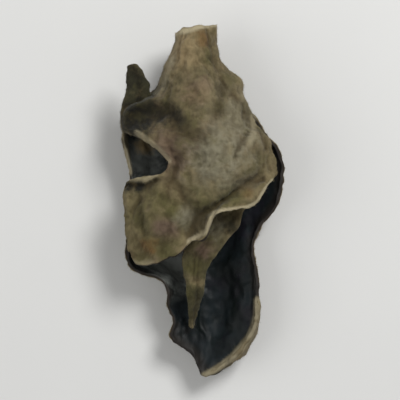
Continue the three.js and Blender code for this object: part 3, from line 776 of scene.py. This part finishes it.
class Look:
    """Builds the nodes of a material or a node group in short calls."""

    def __init__(self, tree, material=None):
        self.tree = tree
        self.material = material

    def give(self, socket, value):
        """Links a socket to another one, or sets its value."""
        if isinstance(value, bpy.types.NodeSocket):
            self.tree.links.new(value, socket)
        elif socket.type == "RGBA" and len(value) == 3:
            socket.default_value = (*value, 1.0)
        else:
            socket.default_value = value

    def add(self, kind, inputs=(), **settings):
        """A new node, with its inputs given and its settings made."""
        node = self.tree.nodes.new(kind)
        node.location = (NODE_SPACING * len(self.tree.nodes), 0)
        for name, value in settings.items():
            setattr(node, name, value)
        for name, value in dict(inputs).items():
            self.give(node.inputs[name], value)
        return node

    def math(self, operation, first, second):
        return self.add("ShaderNodeMath", {0: first, 1: second}, operation=operation).outputs[0]

    def times(self, first, second):
        return self.math("MULTIPLY", first, second)

    def ramp(self, value, low, high, to_low=0.0, to_high=1.0):
        """The value eased from low..high to to_low..to_high."""
        inputs = {"Value": value, "From Min": low, "From Max": high, "To Min": to_low, "To Max": to_high}
        return self.add("ShaderNodeMapRange", inputs, interpolation_type="SMOOTHSTEP").outputs["Result"]

    def mix(self, mask, first, second, blend="MIX"):
        inputs = {0: mask, 6: first, 7: second}
        return self.add("ShaderNodeMix", inputs, data_type="RGBA", blend_type=blend).outputs[2]

    def multiply(self, mask, shade, factor):
        """The shade, multiplied by another where the mask is 1."""
        return self.mix(mask, shade, factor, "MULTIPLY")

    def attribute(self, name, output="Fac"):
        return self.add("ShaderNodeAttribute", attribute_name=name).outputs[output]

    def noise(self, place, scale, detail=4.0, rough=0.6, distort=0.0, shift=None, **kind):
        """Noise in three dimensions, or in four with a shift."""
        inputs = {"Vector": place, "Scale": scale, "Detail": detail, "Roughness": rough}
        inputs["Distortion"] = distort
        if shift:
            kind["noise_dimensions"] = "4D"
            inputs["W"] = shift
        return self.add("ShaderNodeTexNoise", inputs, **kind).outputs["Fac"]

    def millimetres(self):
        """The place on the part, in millimetres."""
        place = self.add("ShaderNodeTexCoord").outputs["Object"]
        return self.add("ShaderNodeVectorMath", {0: place, "Scale": 1 / MM}, operation="SCALE").outputs[0]

    def declare(self, **defaults):
        for label, default in defaults.items():
            kind = "NodeSocketVector" if isinstance(default, tuple) else "NodeSocketFloat"
            socket = self.tree.interface.new_socket(label.capitalize(), in_out="INPUT", socket_type=kind)
            socket.default_value = default
        return self.add("NodeGroupInput").outputs


def node_group(build):
    """Turns a function that builds a mask into one that places it as a node group, which is built
    once. The group's inputs are its own values wherever it is placed."""

    def placed(look, **inputs):
        tree = bpy.data.node_groups.get(build.__name__)
        if not tree:
            tree = bpy.data.node_groups.new(build.__name__, "ShaderNodeTree")
            tree.interface.new_socket("Mask", in_out="OUTPUT", socket_type="NodeSocketFloat")
            inner = Look(tree)
            end = inner.add("NodeGroupOutput")
            inner.give(end.inputs[0], build(inner))
        node = look.add("ShaderNodeGroup", node_tree=tree)
        for name, value in inputs.items():
            look.give(node.inputs[name.capitalize()], value)
        return node.outputs[0]

    return placed


@node_group
def mottle(look):
    """Soft-edged blotches of one size, in millimetres."""
    given = look.declare(size=4.0, cover=0.5, softness=0.12, shift=0.0)
    scale = look.math("DIVIDE", 1.0, given["Size"])
    speck = look.noise(look.millimetres(), scale, distort=0.4, shift=given["Shift"])
    middle = look.math("SUBTRACT", 1.0, given["Cover"])
    low = look.math("SUBTRACT", middle, given["Softness"])
    high = look.math("ADD", middle, given["Softness"])
    return look.ramp(speck, low, high)


@node_group
def growth_lines(look):
    """Fine lines and streaks that spread from the cut."""
    given = look.declare(width=0.6, length=6.0)
    place = look.add("ShaderNodeSeparateXYZ", {0: look.attribute("growth", "Vector")}).outputs
    sizes = {"X": "Width", "Y": "Length", "Z": "Length"}
    stretched = {axis: look.math("DIVIDE", place[axis], given[size]) for axis, size in sizes.items()}
    streak = look.add("ShaderNodeCombineXYZ", stretched).outputs[0]
    return look.ramp(look.noise(streak, 1.0, detail=5.0, distort=0.6), 0.3, 0.7)


@node_group
def patch(look):
    """A soft patch of one reach round a place, in millimetres, with a ragged edge."""
    given = look.declare(place=(0.0, 0.0, 0.0), reach=4.0)
    place = look.millimetres()
    away = look.add("ShaderNodeVectorMath", {0: place, 1: given["Place"]}, operation="DISTANCE")
    ragged = look.math("SUBTRACT", look.noise(place, 0.5, rough=0.65), 0.5)
    share = look.math("DIVIDE", away.outputs["Value"], given["Reach"])
    return look.ramp(look.math("ADD", share, look.times(ragged, 1.6)), 0.15, 1.1, 1.0, 0.0)


@node_group
def matted_relief(look):
    """Height of matted fibres and fine wrinkles, from 0 to 1."""
    given = look.declare(fibre=0.16, wrinkle=0.9)
    place = look.millimetres()
    fibre = look.noise(place, look.math("DIVIDE", 1.0, given["Fibre"]), detail=3.0, rough=0.7)
    scale = look.math("DIVIDE", 1.0, given["Wrinkle"])
    wrinkle = look.noise(place, scale, 3.0, 0.5, distort=1.2, noise_type="RIDGED_MULTIFRACTAL")
    return look.math("ADD", look.times(fibre, 0.45), look.times(wrinkle, 0.3))


def new_material(name):
    material = bpy.data.materials.new(name)
    material.use_nodes = True
    material.node_tree.nodes.clear()
    return Look(material.node_tree, material)


def close_material(look, shade, roughness, specular, relief=None, sheen=0.0):
    """The material with its shader. The relief is a height, its strength, and its depth in
    millimetres."""
    inputs = {"Base Color": shade, "Roughness": roughness, "Specular IOR Level": specular}
    inputs["Sheen Weight"] = sheen
    if relief:
        height, strength, depth = relief
        bumps = {"Height": height, "Strength": strength, "Distance": depth * MM}
        inputs["Normal"] = look.add("ShaderNodeBump", bumps).outputs["Normal"]
    shader = look.add("ShaderNodeBsdfPrincipled", inputs)
    look.add("ShaderNodeOutputMaterial", {"Surface": shader.outputs[0]})
    return look.material


def tint_areas(look, settings, shade, features):
    """The shade, tinted by soft patches in the colours of the settings."""
    for pixel, height, reach, strength, name in (area for areas in features.values() for area in areas):
        across, along = from_photo([pixel])[0]
        near = patch(look, place=(across, along, height), reach=reach)
        shade = look.mix(look.times(near, strength), shade, getattr(settings, name))
    return shade


def felt_colour(look, settings):
    """The felt's colour: taupe with darker, olive and mauve blotches, streaked and stained, with painted
    shade in its valleys, hollows and creases, on the shoulder and tongue, and a painted highlight on the
    neck.
    """
    dark_and_shaded = mottle(look, size=5.0, cover=0.48, softness=0.16, shift=1.0)
    shade = look.mix(dark_and_shaded, settings.clean, settings.dark_and_shaded)
    mauve = mottle(look, size=6.0, cover=0.42, softness=0.08, shift=9.0)
    shade = look.mix(look.times(mauve, 0.35), shade, settings.mauve)
    shade = tint_areas(look, settings, shade, FELT_AREAS)
    olive = mottle(look, size=2.6, cover=0.42, softness=0.09, shift=5.0)
    shade = look.mix(look.times(olive, 0.45), shade, settings.olive)
    lines = growth_lines(look, width=0.9, length=7.0)
    shade = look.multiply(look.times(lines, 0.3), shade, STREAK)
    speckle = mottle(look, size=0.6, cover=0.5, softness=0.2, shift=3.0)
    shade = look.multiply(look.times(speckle, 0.25), shade, STREAK)
    # Painted shade: darker in valleys, broad hollows and creases, by how far each sinks
    low = look.ramp(look.attribute("crest"), -0.9, 0.5, 0.4, 0.0)
    shade = look.multiply(low, shade, VALLEY_SHADE)
    broad = look.ramp(look.attribute("broad_crest"), -0.9, 0.9, 0.35, 0.0)
    shade = look.multiply(broad, shade, HOLLOW_SHADE)
    crease_shade = look.times(look.attribute("crease"), 0.6)
    shade = look.multiply(crease_shade, shade, CREASE_SHADE)
    return look.mix(pale_mask(look), shade, settings.rim)


def felt_material(settings):
    look = new_material("felted_back")
    shade = felt_colour(look, settings)
    matted = matted_relief(look, fibre=0.16, wrinkle=0.9)
    lines = growth_lines(look, width=0.5, length=5.0)
    height = look.math("ADD", matted, look.times(lines, 0.35))
    roughness = look.ramp(matted, 0.2, 0.8, 0.95, 0.78)
    return close_material(look, shade, roughness, 0.2, (height, 0.8, 0.18), sheen=0.08)


def inside_colour(look, settings):
    """The smooth side's colour, with painted light in the notch and below the lobe and painted sheen on
    the dish, and how much of its dull bloom lies on it.
    """
    bloom = mottle(look, size=6.0, cover=0.45, softness=0.16, shift=4.0)
    shade = look.mix(bloom, settings.inside_dark, settings.inside_bloom_and_sheen)
    violet = mottle(look, size=5.0, cover=0.4, softness=0.1, shift=8.0)
    shade = look.mix(look.times(violet, 0.6), shade, settings.inside_violet)
    lines = growth_lines(look, width=0.7, length=9.0)
    shade = look.multiply(look.times(lines, 0.4), shade, INNER_STREAK)
    edge = look.attribute("rim_distance")
    shade = look.mix(look.ramp(edge, 0.3, 2.2, 0.55, 0.0), shade, settings.inside_brown)
    return tint_areas(look, settings, shade, INSIDE_AREAS), bloom


def rim_blotches(look, first, second):
    """Small blotches of two colours, as along the rims."""
    return look.mix(mottle(look, size=1.6, cover=0.45, softness=0.15, shift=2.0), first, second)


def pale_mask(look):
    """The pale lines, a little broken."""
    broken = mottle(look, size=0.9, cover=0.7, softness=0.25, shift=12.0)
    return look.times(look.attribute("pale"), look.ramp(broken, 0.0, 1.0, 0.6, 1.0))


def margin_material(settings):
    look = new_material("thin_rim")
    dull = rim_blotches(look, settings.dark_rim, settings.inside_brown)
    inner = look.ramp(look.attribute("rim_distance"), 0.15, 0.6)
    shade = look.mix(inner, dull, inside_colour(look, settings)[0])
    curled = rim_blotches(look, settings.rim, settings.clean)
    shade = look.mix(pale_mask(look), shade, curled)
    height = matted_relief(look, fibre=0.14, wrinkle=0.6)
    return close_material(look, shade, 0.7, 0.2, (height, 0.5, 0.1))


def inside_material(settings):
    look = new_material("smooth_inside")
    shade, bloom = inside_colour(look, settings)
    pale = pale_mask(look)
    shade = look.mix(pale, shade, rim_blotches(look, settings.rim, settings.clean))
    wrinkle = matted_relief(look, fibre=0.5, wrinkle=1.6)
    lines = growth_lines(look, width=0.7, length=9.0)
    height = look.math("ADD", look.times(lines, 0.5), wrinkle)
    glossy = look.ramp(bloom, 0.0, 1.0, 0.45, 0.62)
    roughness = look.math("ADD", glossy, look.times(pale, 0.3))
    return close_material(look, shade, roughness, 0.13, (height, 0.3, 0.14))


def cut_material(settings):
    look = new_material("cut_flesh")
    blotch = mottle(look, size=1.4, cover=0.5, softness=0.2, shift=6.0)
    shade = look.mix(blotch, settings.cut_flesh, settings.dark_and_shaded)
    lines = growth_lines(look, width=0.35, length=20.0)
    shade = look.multiply(look.times(lines, 0.5), shade, CUT_STREAK)
    shade = look.mix(look.times(pale_mask(look), 0.35), shade, settings.rim)
    height = matted_relief(look, fibre=0.3, wrinkle=0.8)
    return close_material(look, shade, 0.8, 0.3, (height, 0.8, 0.2))


def pile_material(settings):
    look = new_material("pile")
    shade = look.multiply(1.0, felt_colour(look, settings), HAIR_LIGHT)
    return close_material(look, shade, 0.85, 0.2)


# Pile


def model_hair(settings):
    """One hair that stands on its root: a thin spike of three sides."""
    bpy.ops.object.select_all(action="DESELECT")
    bpy.ops.mesh.primitive_cone_add(
        vertices=3,
        radius1=0.5 * settings.hair_width,
        radius2=0.0,
        depth=settings.hair_length,
        location=(0.0, 0.0, 0.5 * settings.hair_length),
    )
    bpy.ops.object.transform_apply()
    hair = bpy.context.object.data
    points = read(hair.vertices, "co")
    faces = [list(polygon.vertices) for polygon in hair.polygons]
    bpy.data.meshes.remove(hair)
    return points, faces


def hair_roots(mesh, count, rng):
    """Places spread evenly over the felted faces: their points, normals and nearest vertices."""
    mesh.calc_loop_triangles()
    corners = read(mesh.loop_triangles, "vertices", 3, np.int32)
    finish = np.array([triangle.material_index for triangle in mesh.loop_triangles])
    corners = corners[finish == FELT]
    points = read(mesh.vertices, "co")
    normals = read(mesh.vertex_normals, "vector")
    first, second, third = points[corners.T]
    area = np.linalg.norm(np.cross(second - first, third - first), axis=1)
    rooted = corners[rng.choice(len(corners), count, p=area / area.sum())]
    weights = rng.dirichlet((1.0, 1.0, 1.0), count)[:, :, None]
    upright = (normals[rooted] * weights).sum(axis=1)
    return (points[rooted] * weights).sum(axis=1), unit(upright), rooted[:, 0]


def unit(rows):
    return rows / np.linalg.norm(rows, axis=1)[:, None]


class WOODEAR_OT_pile(bpy.types.Operator):
    """Makes the short pile of hairs on the felted side, combed away from the cut."""

    bl_idname = "wood_ear.pile"
    bl_label = "Pile"

    def execute(self, context):
        settings = context.scene.wood_ear_pile
        skin = bpy.data.objects["ear_flesh"].data
        rng = np.random.default_rng(HAIR_SEED)
        points, faces = model_hair(settings)
        places, upright, nearest = hair_roots(skin, settings.hairs, rng)
        combed = unit(places - np.array(CUT_CENTRE))
        rise = rng.uniform(*HAIR_RISE, (len(places), 1))
        strayed = rng.normal(0.0, HAIR_STRAYING, places.shape)
        lean = unit(rise * upright + HAIR_COMBING * combed + strayed)
        side = unit(np.cross(lean, rng.normal(size=lean.shape)))
        axes = np.stack([side, np.cross(lean, side), lean], axis=1)
        size = rng.uniform(*HAIR_SIZE, len(places))[:, None, None]
        hairs = size * np.einsum("vk,hkx->hvx", points, axes) + places[:, None, :]
        hairs[:, :, 2] = np.maximum(hairs[:, :, 2], 0.0)
        mesh = bpy.data.meshes.new("ear_pile")
        starts = range(0, len(points) * len(places), len(points))
        sides = [[start + corner for corner in face] for start in starts for face in faces]
        mesh.from_pydata(hairs.reshape(-1, 3), [], sides)
        pile = bpy.data.objects.new("ear_pile", mesh)
        context.scene.collection.objects.link(pile)
        for name in ("rim_distance", "crest", "broad_crest", "crease", "pale"):
            values = read(skin.attributes[name].data, "value", 1)[nearest]
            add_values(mesh, name, np.repeat(values, len(points)))
        growth = read(skin.attributes["growth"].data, "vector")[nearest]
        add_values(mesh, "growth", np.repeat(growth, len(points), axis=0))
        mesh.materials.append(pile_material(context.scene.wood_ear_flesh))
        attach(pile, "root")
        return {"FINISHED"}


# Stage


def add_light(name, place, size, power):
    """A soft square light that faces the ear."""
    bpy.ops.object.light_add(type="AREA", location=place)
    light = bpy.context.object
    light.name = name
    light.rotation_euler = Vector(place).to_track_quat("Z", "Y").to_euler()
    light.data.size = size
    light.data.energy = power


class WOODEAR_OT_stage(bpy.types.Operator):
    """Makes the camera straight above the ear, the pale floor and the soft lights."""

    bl_idname = "wood_ear.stage"
    bl_label = "Stage"

    def execute(self, context):
        settings = context.scene.wood_ear_stage
        bpy.ops.object.select_all(action="DESELECT")
        rise = Vector((0.0, 0.0, settings.view_width * settings.lens * MM / SENSOR_WIDTH))
        bpy.ops.object.camera_add(location=VIEW_MIDDLE + rise)
        camera = context.object
        camera.name = "straight_down"
        camera.data.lens = settings.lens
        camera.data.sensor_width = SENSOR_WIDTH / MM
        camera.data.clip_start = NEAREST_SEEN
        context.scene.camera = camera

        bpy.ops.mesh.primitive_circle_add(vertices=FLOOR_SIDES, radius=FLOOR_RADIUS, fill_type="NGON")
        floor = context.object
        floor.name = "floor"
        bpy.ops.object.mode_set(mode="EDIT")
        bpy.ops.mesh.inset(thickness=FLOOR_EDGE)
        bpy.ops.object.mode_set(mode="OBJECT")
        look = new_material("pale_floor")
        grain = mottle(look, size=30.0, cover=0.5, softness=0.3, shift=0.0)
        shade = look.mix(grain, settings.floor, FLOOR_GRAIN * Vector(settings.floor))
        floor.data.materials.append(close_material(look, shade, 0.85, 0.2))

        add_light("key", *KEY_LIGHT, settings.key_power)
        add_light("fill", *FILL_LIGHT, settings.fill_power)
        world = bpy.data.worlds.new("soft_room")
        world.use_nodes = True
        background = world.node_tree.nodes["Background"]
        background.inputs["Color"].default_value = (1.0, 1.0, 1.0, 1.0)
        background.inputs["Strength"].default_value = settings.room
        context.scene.world = world
        context.scene.view_settings.view_transform = "Standard"
        return {"FINISHED"}


class WOODEAR_PT_panel(bpy.types.Panel):
    bl_label = "Wood Ear"
    bl_idname = "WOODEAR_PT_panel"
    bl_space_type = "VIEW_3D"
    bl_region_type = "UI"
    bl_category = "Wood Ear"

    def draw(self, context):
        for (name, group), operator in zip(SETTINGS.items(), OPERATORS):
            box = self.layout.box()
            for setting in group.__annotations__:
                box.prop(getattr(context.scene, name), setting)
            box.operator(operator.bl_idname)


SETTINGS = {"wood_ear_stage": WoodEarStage, "wood_ear_flesh": WoodEarFlesh, "wood_ear_pile": WoodEarPile}
OPERATORS = (WOODEAR_OT_stage, WOODEAR_OT_flesh, WOODEAR_OT_pile)
CLASSES = (*SETTINGS.values(), *OPERATORS, WOODEAR_PT_panel)


def register():
    for cls in CLASSES:
        bpy.utils.register_class(cls)
    for name, group in SETTINGS.items():
        setattr(bpy.types.Scene, name, bpy.props.PointerProperty(type=group))


def unregister():
    for name in SETTINGS:
        delattr(bpy.types.Scene, name)
    for cls in reversed(CLASSES):
        bpy.utils.unregister_class(cls)


def main():
    register()
    bpy.ops.wood_ear.stage()
    bpy.ops.wood_ear.flesh()
    bpy.ops.wood_ear.pile()


if __name__ == "__main__":
    main()
